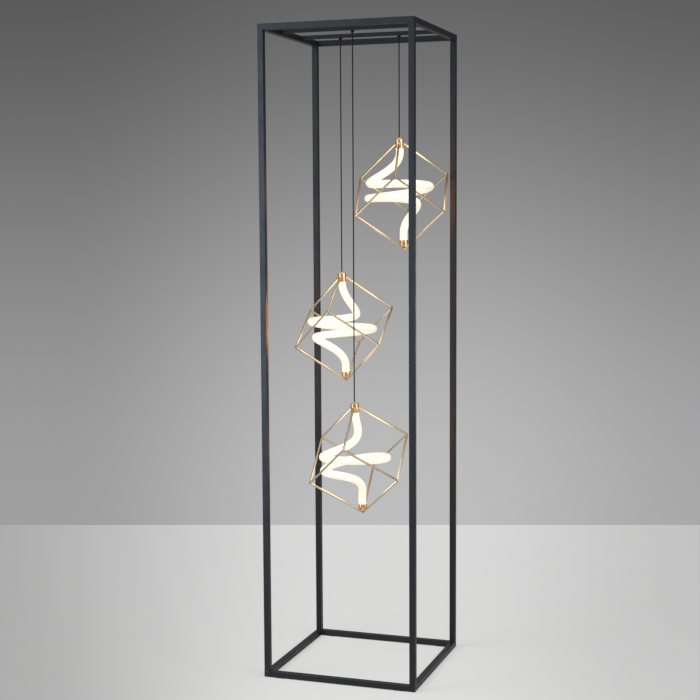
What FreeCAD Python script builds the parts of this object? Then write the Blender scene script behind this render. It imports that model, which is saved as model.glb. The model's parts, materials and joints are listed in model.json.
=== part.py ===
import FreeCAD, Part
import math
import os
from collections import namedtuple
from FreeCAD import Placement, Rotation, Vector

# Floor lamp: an open square frame of steel tube with three wire cubes hung inside it.
# Each cube hangs by its corner on a thin black cord and holds a bent opal light tube.
# Units are millimetres. Z is up, X runs along the front, Y to the back.
# The origin is on the floor, under the middle of the frame.

# Open frame
frame_height = 1640.0
frame_width = 400.0
frame_depth = 400.0
tube_side = 15.0
tube_wall = 1.5
tube_edge_radius = 1.0
fit_gap = 0.05

# Felt pads under the bottom rails
pad_length = 24.0
pad_width = 11.0
pad_thickness = 1.0
pad_inset = 30.0

# Corner joints: a countersunk bolt through a block in the rails, into a plug in the post
plug_depth = 20.0
bolt_diameter = 6.0
bolt_head_diameter = 12.0
bolt_grip_in_plug = 12.0
bolt_head_recess = 0.2
bolt_clearance = 0.2
thread_clearance = 0.05
socket_across_flats = 4.0
socket_depth = 2.2
wire_notch = 3.4

# Cross bars that carry the pendants
bar_side = 10.0
bar_wall = 1.0
bar_edge_radius = 0.6
bar_spacing = 145.0

# Cord grips under the bars
grip_flange_diameter = 9.0
grip_flange_height = 3.0
grip_nose_height = 4.0
grip_nose_diameter = 5.4
grip_stem_diameter = 5.0
grip_stem_end = 0.4
grip_clearance = 0.1
grip_nut_diameter = 7.6
grip_nut_height = 1.8
lock_screw_diameter = 2.0
lock_screw_sink = 0.2

# Pendant cords
cord_diameter = 3.0
cord_neck_length = 4.0
swing_gap = 0.1
cord_end_clearance = 0.3
cord_end_depth = 6.0

# Wiring inside the frame
lead_diameter = 2.0
lead_bend_radius = 1.7
lead_top_gap = 0.1
lead_spacing = 2.5
wire_hole_diameter = 7.0
splice_length = 25.0
splice_width = 10.0
splice_height = 8.0
splice_behind_bar = 38.0
feed_diameter = 2.4
feed_bend_radius = 2.5
feed_jog_height = 40.0
feed_jog_drop = 20.0

# Low-voltage inlet at the back, near the floor
inlet_height = 60.0
inlet_diameter = 8.0
inlet_depth = 9.0
inlet_bore_diameter = 5.5
inlet_bore_depth = 7.5
inlet_clearance = 0.05

# Wire cubes, measured along the middle of their bars
cube_edge = 162.0
cube_bar = 4.0

# Caps on the light tubes and the nut on top
cap_wall = 1.0
cap_edge_chamfer = 0.8
top_cap_rise = 2.5
top_cap_height = 23.0
top_cap_end_wall = 3.0
top_cap_chamber = 5.0
top_cap_chamber_diameter = 16.0
bottom_cap_lift = 5.5
bottom_cap_height = 17.5
bottom_cap_floor = 1.6
bottom_cap_floor_lift = 4.9
collar_diameter = 8.0
collar_height = 3.5
collar_stem_diameter = 6.0

# Light tubes and the strips inside them
light_diameter = 20.0
light_clearance = 0.1
coil_radius = 90.0
coil_step = 60.0
straight_gap = 1.3
straight_length = 8.5
run_turn = 25.0
run_length = 120.0
curve_samples = 400
strip_width = 8.0
strip_thickness = 1.6
strip_clearance = 0.15
strip_lead_gap = 0.3

# Cutting tools reach past what they cut by this much
overrun = 5.0

# across: where the cord hangs along its bar. bar: -1 for the front bar, 1 for the back one.
# drop: from the underside of the bar to the cube's top corner.
# heading: where the front wire of the cube points, in degrees. tilt and lean: how far the cube
# hangs out of plumb and where its top leans. coil_heading: the middle of the light tube, from
# the front wire. bend_shares: how far out and how high the tube is at each step of its turn, from the
# top down, as shares of the coil radius and of the level where the tube leaves a cap.
Pendant = namedtuple("Pendant", "name across bar drop heading tilt lean coil_heading bend_shares")

upper_bend_shares = [
    (0.25, 0.71), (0.90, 0.33), (1.05, 0.28), (0.95, 0.22), (0.80, 0.125), (0.83, 0.03),
    (0.86, -0.03), (0.98, -0.05), (1.02, -0.05), (0.65, -0.23), (0.05, -0.75),
]
middle_bend_shares = [
    (0.15, 0.67), (1.00, 0.23), (1.00, 0.18), (0.93, 0.15), (0.85, 0.065), (0.84, 0.00),
    (0.87, -0.08), (0.98, -0.16), (1.10, -0.21), (0.65, -0.35), (0.05, -0.83),
]
lower_bend_shares = [
    (0.07, 0.73), (0.80, 0.21), (1.00, 0.115), (0.95, 0.11), (0.87, 0.05), (0.80, -0.025),
    (0.89, -0.09), (1.00, -0.175), (1.02, -0.25), (0.75, -0.31), (0.07, -0.73),
]

upper_across = 80.0
middle_across = -79.0
lower_across = 3.0
upper_drop = 265.5
middle_drop = 612.5
lower_drop = 937.0

pendants = [
    Pendant("upper", upper_across, 1, upper_drop, -79.7, 3.0, -128.0, 167.3, upper_bend_shares),
    Pendant("middle", middle_across, 1, middle_drop, -88.7, 3.4, 147.0, 60.1, middle_bend_shares),
    Pendant("lower", lower_across, -1, lower_drop, -86.8, 4.3, -155.5, 101.7, lower_bend_shares),
]

# Levels and places that follow from the sizes above
bottom_level = pad_thickness
post_foot = bottom_level + tube_side
post_head = frame_height - tube_side
corner_x = (frame_width - tube_side) / 2
corner_y = (frame_depth - tube_side) / 2
block_side = tube_side - 2 * tube_wall - 2 * fit_gap
block_height = block_side
bar_level = frame_height - bar_side
bar_middle = frame_height - bar_side / 2
bar_length = frame_width - 2 * tube_side
grip_mouth = bar_level - grip_flange_height - grip_nose_height
stem_top = bar_level + bar_wall + grip_nut_height + grip_stem_end
upper_wire_level = frame_height - tube_wall - lead_top_gap - lead_diameter / 2
lower_wire_level = upper_wire_level - lead_diameter - 4 * lead_top_gap
notch_offset = (block_side - wire_notch) / 2
cap_radius = light_diameter / 2 + light_clearance + cap_wall
bolt_length = tube_side + bolt_grip_in_plug
half_diagonal = cube_edge * math.sqrt(3) / 2
corner_below_collar = top_cap_rise + collar_height / 2
quarter_turn = 90.0

nodes = {}


def add(name, *solids):
    """Keep a node: one solid, or a group of separate ones."""
    nodes[name] = solids[0] if len(solids) == 1 else Part.makeCompound(list(solids))


def turned(shape, degrees):
    """A copy turned about the upright axis through the origin."""
    copy = shape.copy()
    copy.rotate(Vector(0, 0, 0), Vector(0, 0, 1), degrees)
    return copy


def moved(shape, x, y, z):
    """A copy moved by x, y and z."""
    copy = shape.copy()
    copy.translate(Vector(x, y, z))
    return copy


def block(length, width, height):
    """A box centred on the Z axis, standing on z = 0."""
    return Part.makeBox(length, width, height, Vector(-length / 2, -width / 2, 0))


def rod(diameter, height, start=0.0):
    """A cylinder on the Z axis from the start level up."""
    return Part.makeCylinder(diameter / 2, height, Vector(0, 0, start))


def rounded_square(side, radius):
    """A closed wire: a square on the Z axis with round corners."""
    flat = side / 2 - radius
    edges = []
    for quarter in range(4):
        spin = Rotation(Vector(0, 0, 1), quarter * quarter_turn)
        start = spin.multVec(Vector(side / 2, -flat, 0))
        end = spin.multVec(Vector(side / 2, flat, 0))
        middle_angle = math.radians(quarter_turn / 2)
        knee = Vector(flat + radius * math.cos(middle_angle), flat + radius * math.sin(middle_angle), 0)
        turn = spin.multVec(Vector(flat, side / 2, 0))
        edges.append(Part.makeLine(start, end))
        edges.append(Part.Arc(end, spin.multVec(knee), turn).toShape())
    return Part.Wire(edges)


def plain_square(side):
    """A closed wire: a sharp square on the Z axis."""
    half = side / 2
    corners = [Vector(-half, -half, 0), Vector(half, -half, 0), Vector(half, half, 0), Vector(-half, half, 0)]
    return Part.makePolygon(corners + corners[:1])


def square_tube(length, side, wall, edge_radius):
    """A square tube standing on z = 0."""
    outlines = [rounded_square(side, edge_radius), plain_square(side - 2 * wall)]
    face = Part.makeFace(outlines, "Part::FaceMakerBullseye")
    return face.extrude(Vector(0, 0, length))


def revolved(points):
    """A solid turned about the Z axis from (radius, height) points."""
    outline = [Vector(radius, 0, height) for radius, height in points]
    face = Part.Face(Part.makePolygon(outline + outline[:1]))
    return face.revolve(Vector(0, 0, 0), Vector(0, 0, 1), 4 * quarter_turn)


def round_sweep(points, diameter):
    """A round bar along straight runs with mitred joints."""
    profile = Part.Wire([Part.Circle(points[0], points[1] - points[0], diameter / 2).toShape()])
    return Part.makePolygon(points).makePipeShell([profile], True, False, 1)


def wire_route(points, radius):
    """A route of straight runs joined by tangent arcs."""
    edges = []
    start = points[0]
    for before, corner, after in zip(points, points[1:], points[2:]):
        inward = (before - corner).normalize()
        outward = (after - corner).normalize()
        turn = math.pi - inward.getAngle(outward)
        setback = radius * math.tan(turn / 2)
        first = corner + inward * setback
        last = corner + outward * setback
        middle = corner + (inward + outward).normalize() * (radius / math.cos(turn / 2) - radius)
        edges.append(Part.makeLine(start, first))
        edges.append(Part.Arc(first, middle, last).toShape())
        start = last
    edges.append(Part.makeLine(start, points[-1]))
    return Part.Wire(edges)


def bent_wire(points, diameter, radius):
    """A round wire along straight runs, bent in an arc at each corner."""
    section = Part.Wire([Part.Circle(points[0], points[1] - points[0], diameter / 2).toShape()])
    return wire_route(points, radius).makePipe(Part.Face(section))


def frame_corners():
    """The four corners, counted from the front right one, as (quarter, x, y)."""
    return [
        (0, corner_x, -corner_y),
        (1, corner_x, corner_y),
        (2, -corner_x, corner_y),
        (3, -corner_x, -corner_y),
    ]


def countersunk_cutter():
    """What a corner bolt needs out of the block and the rails: head up, top of the rail at z = 0."""
    hole = bolt_diameter / 2 + bolt_clearance
    head = bolt_head_diameter / 2 + bolt_clearance
    shaft = Part.makeCylinder(hole, tube_side + 2 * overrun, Vector(0, 0, -tube_side - overrun))
    cone = Part.makeCone(hole, head, head - hole, Vector(0, 0, hole - head - bolt_head_recess))
    mouth = Part.makeCylinder(head, overrun, Vector(0, 0, -bolt_head_recess))
    return shaft.fuse([cone, mouth])


def corner_bolt():
    """A countersunk bolt with a hex socket: head up, top of the head at z = 0."""
    shaft = bolt_diameter / 2
    head = bolt_head_diameter / 2
    cone_height = head - shaft
    bolt = Part.makeCylinder(shaft, bolt_length - cone_height, Vector(0, 0, -bolt_length))
    bolt = bolt.fuse(Part.makeCone(shaft, head, cone_height, Vector(0, 0, -cone_height)))
    point_radius = socket_across_flats / math.sqrt(3)
    points = []
    for side in range(7):
        angle = math.radians(side * quarter_turn * 2 / 3)
        points.append(Vector(point_radius * math.cos(angle), point_radius * math.sin(angle), -socket_depth))
    socket = Part.Face(Part.makePolygon(points)).extrude(Vector(0, 0, socket_depth + overrun))
    return bolt.cut(socket)


def wire_notch_cutter(height):
    """A square notch at the edge of a corner block that faces the middle of the front right corner."""
    reach = wire_notch + overrun
    start = notch_offset - wire_notch / 2
    place = Vector(-start - wire_notch - overrun, start, -overrun)
    return Part.makeBox(reach, reach, height + 2 * overrun, place)


def corner_block():
    """The block that is welded into a mitred rail corner, standing on z = 0."""
    body = block(block_side, block_side, block_height)
    top = block_height + tube_wall + fit_gap
    body = body.cut(moved(countersunk_cutter(), 0, 0, top))
    return body.cut(wire_notch_cutter(block_height))


def post_plug():
    """The threaded plug in the end of a post, standing on z = 0."""
    body = block(block_side, block_side, plug_depth)
    body = body.cut(rod(bolt_diameter + 2 * thread_clearance, plug_depth + 2 * overrun, -overrun))
    return body.cut(wire_notch_cutter(plug_depth))


def mirrored_down(shape, level):
    """A copy mirrored in z = 0 and brought to the level, so that a notch stays on its side."""
    copy = shape.mirror(Vector(0, 0, 0), Vector(0, 0, 1))
    copy.translate(Vector(0, 0, level))
    return copy


def mitred_rail(length, distance, quarter):
    """One rail of a square frame, ends cut at 45 degrees, standing on z = 0."""
    rail = square_tube(length, tube_side, tube_wall, tube_edge_radius)
    rail.rotate(Vector(0, 0, 0), Vector(0, 1, 0), quarter_turn)
    rail.translate(Vector(-length / 2, tube_side / 2 - distance, tube_side / 2))
    outer = length / 2
    inner = outer - tube_side
    plan = [
        Vector(-outer, -distance, -overrun),
        Vector(outer, -distance, -overrun),
        Vector(inner, tube_side - distance, -overrun),
        Vector(-inner, tube_side - distance, -overrun),
    ]
    keep = Part.Face(Part.makePolygon(plan + plan[:1])).extrude(Vector(0, 0, tube_side + 2 * overrun))
    return turned(rail.common(keep), quarter * quarter_turn)


def rail_set():
    """The four plain rails of the top or bottom frame, standing on z = 0."""
    return {
        "front": mitred_rail(frame_width, frame_depth / 2, 0),
        "right": mitred_rail(frame_depth, frame_width / 2, 1),
        "back": mitred_rail(frame_width, frame_depth / 2, 2),
        "left": mitred_rail(frame_depth, frame_width / 2, 3),
    }


def build_frames():
    """The mitred top and bottom frames, their corner blocks, bolts and pads."""
    bolt_cuts = [moved(countersunk_cutter(), x, y, tube_side) for _, x, y in frame_corners()]
    notch = moved(wire_notch_cutter(tube_side), -corner_x, corner_y, -tube_wall - 2 * overrun)
    feed_hole = feed_diameter / 2 + grip_clearance
    feed_place = Vector(notch_offset - corner_x, corner_y - notch_offset, -overrun)
    feed_cut = Part.makeCylinder(feed_hole, 2 * overrun, feed_place)
    bar_holes = []
    for side in (-1, 1):
        start = Vector(-frame_width / 2 + tube_side - overrun, side * bar_spacing / 2, bar_middle - post_head)
        hole = Part.makeCylinder(wire_hole_diameter / 2, 2 * overrun, start, Vector(1, 0, 0))
        bar_holes.append(hole)
    for side, rail in rail_set().items():
        top = rail.cut(bolt_cuts)
        if side in ("left", "back"):
            top = top.cut(feed_cut)
        if side == "left":
            top = top.cut(bar_holes)
        add("top_rail_" + side, moved(top, 0, 0, post_head))
        bottom = mirrored_down(rail.cut(bolt_cuts), post_foot)
        add("bottom_rail_" + side, bottom)
    corners = frame_corners()
    blocks = [moved(turned(corner_block(), quarter * quarter_turn), x, y, 0) for quarter, x, y in corners]
    bolts = [moved(corner_bolt(), x, y, 0) for _, x, y in corners]
    inner_gap = tube_wall + fit_gap
    add("top_corner_blocks", *[moved(piece, 0, 0, post_head + inner_gap) for piece in blocks])
    add("bottom_corner_blocks", *[mirrored_down(piece, post_foot - inner_gap) for piece in blocks])
    add("top_corner_bolts", *[moved(piece, 0, 0, frame_height - bolt_head_recess) for piece in bolts])
    foot = bottom_level + bolt_head_recess
    add("bottom_corner_bolts", *[mirrored_down(piece, foot) for piece in bolts])
    pad_x = frame_width / 2 - pad_inset - pad_length / 2
    pads = [
        moved(block(pad_length, pad_width, pad_thickness), x_side * pad_x, y_side * corner_y, 0)
        for x_side in (-1, 1)
        for y_side in (-1, 1)
    ]
    add("felt_pads", *pads)


def build_posts():
    """The four posts and the threaded plugs in their ends."""
    names = ["post_front_right", "post_back_right", "post_back_left", "post_front_left"]
    length = post_head - post_foot
    for name, (_, x, y) in zip(names, frame_corners()):
        post = moved(square_tube(length, tube_side, tube_wall, tube_edge_radius), x, y, post_foot)
        if name == "post_back_left":
            hole = inlet_diameter / 2 + inlet_clearance
            centre = Vector(x, frame_depth / 2 - overrun, bottom_level + inlet_height)
            post = post.cut(Part.makeCylinder(hole, 2 * overrun, centre, Vector(0, 1, 0)))
        add(name, post)
    plugs = [
        moved(turned(post_plug(), quarter * quarter_turn), x, y, 0)
        for quarter, x, y in frame_corners()
    ]
    add("post_head_plugs", *[moved(plug, 0, 0, post_head - plug_depth) for plug in plugs])
    add("post_foot_plugs", *[moved(plug, 0, 0, post_foot) for plug in plugs])


def grip_place(pendant):
    """Where a cord leaves its grip."""
    return Vector(pendant.across, pendant.bar * bar_spacing / 2, grip_mouth)


def build_cross_bars():
    """The two thin tubes across the top frame, with the holes for the grips."""
    hole = grip_stem_diameter / 2 + grip_clearance
    for name, side in (("cross_bar_front", -1), ("cross_bar_back", 1)):
        bar = square_tube(bar_length, bar_side, bar_wall, bar_edge_radius)
        bar.rotate(Vector(0, 0, 0), Vector(0, 1, 0), quarter_turn)
        bar.translate(Vector(-bar_length / 2, side * bar_spacing / 2, bar_middle))
        for pendant in pendants:
            if pendant.bar == side:
                place = grip_place(pendant)
                place.z = bar_level - bar_side / 4
                bar = bar.cut(Part.makeCylinder(hole, bar_side / 2, place))
        add(name, bar)


def build_cord_grips():
    """The cord grips, the nuts that hold them in the bars and their lock screws."""
    nuts = []
    screws = []
    bore = cord_diameter / 2 + grip_clearance
    stem = grip_stem_diameter / 2
    flange = grip_flange_diameter / 2
    nose = grip_nose_height
    under = nose + grip_flange_height
    screw_height = nose + grip_flange_height / 2
    screw_inner = cord_diameter / 2 + thread_clearance
    screw_length = flange - lock_screw_sink - screw_inner
    top = stem_top - grip_mouth
    outline = [
        (bore, 0), (grip_nose_diameter / 2, 0), (flange, nose), (flange, under), (stem, under), (stem, top),
        (bore, top),
    ]
    sideways = Vector(0, -1, 0)
    screw_hole = Part.makeCylinder(
        lock_screw_diameter / 2 + thread_clearance, flange + overrun, Vector(0, 0, screw_height), sideways
    )
    grip = revolved(outline).cut(screw_hole)
    screw_start = Vector(0, -screw_inner, screw_height)
    screw = Part.makeCylinder(lock_screw_diameter / 2, screw_length, screw_start, sideways)
    nut_bore = stem + thread_clearance
    nut_rim = grip_nut_diameter / 2
    nut_top = bar_wall + grip_nut_height
    nut = revolved([(nut_bore, bar_wall), (nut_rim, bar_wall), (nut_rim, nut_top), (nut_bore, nut_top)])
    for pendant in pendants:
        place = grip_place(pendant)
        add(pendant.name + "_cord_grip", moved(grip, place.x, place.y, place.z))
        screws.append(moved(screw, place.x, place.y, place.z))
        nuts.append(moved(nut, place.x, place.y, bar_level))
    add("grip_nuts", *nuts)
    add("grip_lock_screws", *screws)


def build_wiring():
    """The fixed cord ends in the grips, the leads to the splice, the feed wire and the inlet."""
    rail_x = -corner_x
    splice_start = bar_spacing / 2 + splice_behind_bar
    levels = {"upper": upper_wire_level, "middle": lower_wire_level, "lower": lower_wire_level}
    lanes = {"upper": lead_spacing, "middle": 0.0, "lower": -lead_spacing}
    for pendant in pendants:
        place = grip_place(pendant)
        jacket = Part.makeCylinder(cord_diameter / 2, stem_top - grip_mouth, place)
        level = levels[pendant.name]
        lane = rail_x + lanes[pendant.name]
        points = [
            Vector(place.x, place.y, stem_top),
            Vector(place.x, place.y, level),
            Vector(lane, place.y, level),
            Vector(lane, splice_start, level),
        ]
        lead = bent_wire(points, lead_diameter, lead_bend_radius)
        add(pendant.name + "_cord_tail", jacket.fuse(lead))
    top = upper_wire_level + lead_diameter / 2
    splice_corner = Vector(rail_x - splice_width / 2, splice_start, top - splice_height)
    splice = Part.makeBox(splice_width, splice_length, splice_height, splice_corner)
    add("wire_splice", splice)
    feed_x = rail_x + notch_offset
    feed_y = corner_y - notch_offset
    inlet_level = bottom_level + inlet_height
    feed_level = top - splice_height / 2
    inlet_back = frame_depth / 2 - inlet_depth
    points = [
        Vector(feed_x, splice_start + splice_length, feed_level),
        Vector(feed_x, feed_y, feed_level),
        Vector(feed_x, feed_y, inlet_level + feed_jog_height),
        Vector(rail_x, feed_y, inlet_level + feed_jog_height - feed_jog_drop),
        Vector(rail_x, feed_y, inlet_level),
        Vector(rail_x, inlet_back, inlet_level),
    ]
    add("feed_wire", bent_wire(points, feed_diameter, feed_bend_radius))
    bore = inlet_bore_diameter / 2
    floor = inlet_depth - inlet_bore_depth
    outline = [
        (0, 0), (inlet_diameter / 2, 0), (inlet_diameter / 2, inlet_depth),
        (bore, inlet_depth), (bore, floor), (0, floor),
    ]
    inlet = revolved(outline)
    inlet.rotate(Vector(0, 0, 0), Vector(1, 0, 0), -quarter_turn)
    add("power_inlet", moved(inlet, rail_x, inlet_back, inlet_level))


def cube_directions():
    """The three directions of the cube's wires from its top corner, with the cube hung plumb."""
    down = 1 / math.sqrt(3)
    out = math.sqrt(2) * down
    directions = []
    for third in range(3):
        angle = math.radians(third * quarter_turn * 4 / 3)
        directions.append(Vector(out * math.cos(angle), out * math.sin(angle), -down))
    return directions


def solid_from_faces(corner_lists):
    """A closed solid from flat faces, each given by its corners."""
    shell = Part.makeShell([Part.Face(Part.makePolygon(corners + corners[:1])) for corners in corner_lists])
    shell.sewShape()
    solid = Part.Solid(shell)
    if solid.Volume < 0:
        solid.reverse()
    return solid


def cube_bar_solid(along, corner):
    """One bar of the cube, mitred where three bars meet. corner: near or far on the other two axes."""
    directions = cube_directions()
    others = [axis for axis in range(3) if axis != along]
    half = cube_bar / 2
    section = [(-half, -half), (half, -half), (half, half), (-half, half)]
    near = []
    far = []
    for first, second in section:
        mitre = max(first, second)
        place = Vector(0, 0, 0)
        for axis, side, inward in zip(others, corner, (first, second)):
            offset = cube_edge - inward if side else inward
            place = place + directions[axis] * offset
        near.append(place + directions[along] * mitre)
        far.append(place + directions[along] * (cube_edge - mitre))
    faces = []
    for end in (near, far):
        faces += [[end[0], end[1], end[2]], [end[0], end[2], end[3]]]
    for side in range(4):
        beside = (side + 1) % 4
        faces.append([near[side], near[beside], far[beside], far[side]])
    return solid_from_faces(faces)


def build_cube_bars():
    """The twelve bars of a cube whose top corner is at the origin, the top three cut at the cap."""
    bars = []
    envelope = Part.makeCylinder(cap_radius, top_cap_height, Vector(0, 0, top_cap_rise - top_cap_height))
    for along in range(3):
        for corner in ((0, 0), (0, 1), (1, 0), (1, 1)):
            bar = cube_bar_solid(along, corner)
            if corner == (0, 0):
                bar = max(bar.cut(envelope).Solids, key=lambda piece: piece.Volume)
            bars.append(bar)
    return bars


def top_cap():
    """The cap on the upper end of the light tube, with the cube's top corner at the origin."""
    top = top_cap_rise
    bottom = top - top_cap_height
    seat = top - top_cap_end_wall - top_cap_chamber
    hole = collar_stem_diameter / 2 + light_clearance
    bore = cap_radius - cap_wall
    chamber = top_cap_chamber_diameter / 2
    chamfer = cap_edge_chamfer
    outline = [
        (hole, top), (cap_radius - chamfer, top), (cap_radius, top - chamfer), (cap_radius, bottom),
        (bore, bottom), (bore, seat), (chamber, seat), (chamber, seat + top_cap_chamber),
        (hole, seat + top_cap_chamber),
    ]
    return revolved(outline)


def bottom_cap(bars):
    """The cap in the bottom corner, with the cube's top corner at the origin and notched for the bars."""
    corner = -2 * half_diagonal
    low = corner + bottom_cap_lift
    floor = low + bottom_cap_floor_lift
    high = low + bottom_cap_height
    bore = cap_radius - cap_wall
    outline = [
        (bore, low), (cap_radius, low), (cap_radius, high), (bore, high), (bore, floor + bottom_cap_floor),
        (0, floor + bottom_cap_floor), (0, floor), (bore, floor),
    ]
    return revolved(outline).cut(bars)


def collar_nut():
    """The nut that holds the cord in the top cap, with the cube's top corner at the origin."""
    bore = cord_diameter / 2 + cord_end_clearance
    top = top_cap_rise + collar_height
    stem_end = top_cap_rise - top_cap_end_wall
    stem = collar_stem_diameter / 2
    head = collar_diameter / 2
    chamfer = cap_edge_chamfer
    return revolved([
        (bore, stem_end), (stem, stem_end), (stem, top_cap_rise), (head, top_cap_rise), (head, top - chamfer),
        (head - chamfer, top), (bore, top),
    ])


def light_ends():
    """The levels of the light tube's two ends, with the middle of the cube at the origin."""
    top = half_diagonal + top_cap_rise - top_cap_end_wall - top_cap_chamber
    bottom = bottom_cap_lift + bottom_cap_floor_lift + bottom_cap_floor - half_diagonal
    return top, bottom


def bend_limits():
    """How far above and below the middle of the cube the light tube starts to bend, clear of both caps."""
    above = half_diagonal + top_cap_rise - top_cap_height - straight_gap - straight_length
    below = half_diagonal - bottom_cap_lift - bottom_cap_height - straight_gap - straight_length
    return above, below


def light_curve(pendant):
    """Close points along the bent tube, from the top down, with the middle of the cube at the origin."""
    above, below = bend_limits()
    knots = [Vector(0, 0, above + straight_length), Vector(0, 0, above)]
    middle = (len(pendant.bend_shares) - 1) / 2
    for step, (radius_share, height_share) in enumerate(pendant.bend_shares):
        angle = math.radians(pendant.coil_heading + (step - middle) * coil_step)
        radius = radius_share * coil_radius
        height = height_share * (above if height_share > 0 else below)
        knots.append(Vector(radius * math.cos(angle), radius * math.sin(angle), height))
    knots.append(Vector(0, 0, -below))
    knots.append(Vector(0, 0, -below - straight_length))
    spline = Part.BSplineCurve()
    spline.interpolate(knots)
    return spline.discretize(Number=curve_samples)


def straight_runs(curve):
    """Points between which a bar runs straight: closer where the curve turns more, upright in both caps."""
    measure = [0.0]
    for before, here, after in zip(curve, curve[1:], curve[2:]):
        turn = math.degrees((here - before).getAngle(after - here))
        measure.append(measure[-1] + turn / run_turn + (here - before).Length / run_length)
    runs = math.ceil(measure[-1])
    points = [curve[0]]
    for here, reached in zip(curve, measure):
        if reached >= len(points) * measure[-1] / runs and len(points) < runs:
            points.append(here)
    top, bottom = light_ends()
    return [Vector(0, 0, top)] + points + curve[-1:] + [Vector(0, 0, bottom)]


def mitred_sweep(points, width, thickness):
    """A flat-sided bar along straight runs: each face stays flat and each joint is a mitre."""
    heading = (points[1] - points[0]).normalize()
    across = Vector(1, 0, 0)
    rings = []
    for index, point in enumerate(points):
        last = index == len(points) - 1
        onward = heading if last else (points[index + 1] - point).normalize()
        mitre = (heading + onward).normalize()
        beside = heading.cross(across)
        ring = []
        for side, rise in ((-1, -1), (1, -1), (1, 1), (-1, 1)):
            offset = across * (side * width / 2) + beside * (rise * thickness / 2)
            slide = -offset.dot(mitre) / heading.dot(mitre)
            ring.append(point + offset + heading * slide)
        rings.append(ring)
        across = Rotation(heading, onward).multVec(across)
        heading = onward
    faces = [rings[0], rings[-1]]
    for ring, beyond in zip(rings, rings[1:]):
        for side in range(4):
            beside = (side + 1) % 4
            faces.append([ring[side], ring[beside], beyond[beside], beyond[side]])
    return solid_from_faces(faces)


def build_pendant(pendant):
    """One cord with its cube, caps, nut and light tube."""
    mouth = grip_place(pendant)
    neck_top = mouth.z - swing_gap
    neck_start = Vector(mouth.x, mouth.y, neck_top - cord_neck_length)
    neck = Part.makeCylinder(cord_diameter / 2, cord_neck_length, neck_start)
    add(pendant.name + "_cord_neck", neck)
    corner_level = bar_level - pendant.drop
    pivot = Vector(mouth.x, mouth.y, corner_level + corner_below_collar)
    cord_top = neck_top - cord_neck_length - swing_gap
    cord_bottom = corner_level + top_cap_rise + collar_height - cord_end_depth
    cord = Part.makeCylinder(cord_diameter / 2, cord_top - cord_bottom, Vector(mouth.x, mouth.y, cord_bottom))
    add(pendant.name + "_cord", cord)

    lean = math.radians(pendant.lean)
    tilt = Rotation(Vector(-math.sin(lean), math.cos(lean), 0), pendant.tilt)
    hang = Rotation(Vector(0, 0, 1), pendant.heading)
    place = Placement(pivot, tilt.multiply(hang))

    def hung(shape, below_pivot):
        copy = moved(shape, 0, 0, -below_pivot)
        copy.Placement = place.multiply(copy.Placement)
        return copy

    bars = build_cube_bars()
    add(pendant.name + "_cube_frame", *[hung(bar, corner_below_collar) for bar in bars])
    add(pendant.name + "_top_cap", hung(top_cap(), corner_below_collar))
    add(pendant.name + "_bottom_cap", hung(bottom_cap(bars), corner_below_collar))
    add(pendant.name + "_collar_nut", hung(collar_nut(), corner_below_collar))

    middle = corner_below_collar + half_diagonal
    curve = light_curve(pendant)
    route = straight_runs(curve)
    tube = round_sweep(route, light_diameter)
    slot_route = [route[0] + Vector(0, 0, overrun)] + route[1:]
    slot_route[-1] = route[-1] + Vector(0, 0, -overrun)
    slot = mitred_sweep(slot_route, strip_width + 2 * strip_clearance, strip_thickness + 2 * strip_clearance)
    add(pendant.name + "_light_tube", hung(tube.cut(slot), middle))
    add(pendant.name + "_led_strip", hung(mitred_sweep(route, strip_width, strip_thickness), middle))
    lead_top = top_cap_rise + collar_height - cord_end_depth - strip_lead_gap
    lead_bottom = route[0].z - half_diagonal
    lead = Part.makeCylinder(lead_diameter / 2, lead_top - lead_bottom, Vector(0, 0, lead_bottom))
    add(pendant.name + "_strip_lead", hung(lead, corner_below_collar))
    report_light_tube(pendant, curve, len(route) - 1)


def report_light_tube(pendant, curve, runs):
    """Print the length of a bent tube and the least gap between its turns."""
    travelled = [0.0]
    for start, end in zip(curve, curve[1:]):
        travelled.append(travelled[-1] + (end - start).Length)
    least = min(
        (second - first).Length - light_diameter
        for here, first in zip(travelled, curve)
        for there, second in zip(travelled, curve)
        if there - here > math.pi * light_diameter
    )
    length = round(travelled[-1], 1)
    print(pendant.name, "light tube: length", length, "runs", runs, "least gap", round(least, 1))


def build_lamp():
    """Build every node."""
    build_frames()
    build_posts()
    build_cross_bars()
    build_cord_grips()
    build_wiring()
    for pendant in pendants:
        build_pendant(pendant)


build_lamp()
os.makedirs("parts", exist_ok=True)
for name, shape in nodes.items():
    shape.exportStep("parts/" + name + ".step")
print(len(nodes), "nodes")
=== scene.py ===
"""The looks of a floor lamp: an open steel frame with three hung wire cubes, each round a bent light tube."""

import json
import logging
import math
from dataclasses import dataclass, field, replace
from enum import Enum
from typing import NamedTuple

import bmesh
import bpy
import numpy as np
from mathutils import Matrix, Vector

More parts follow.
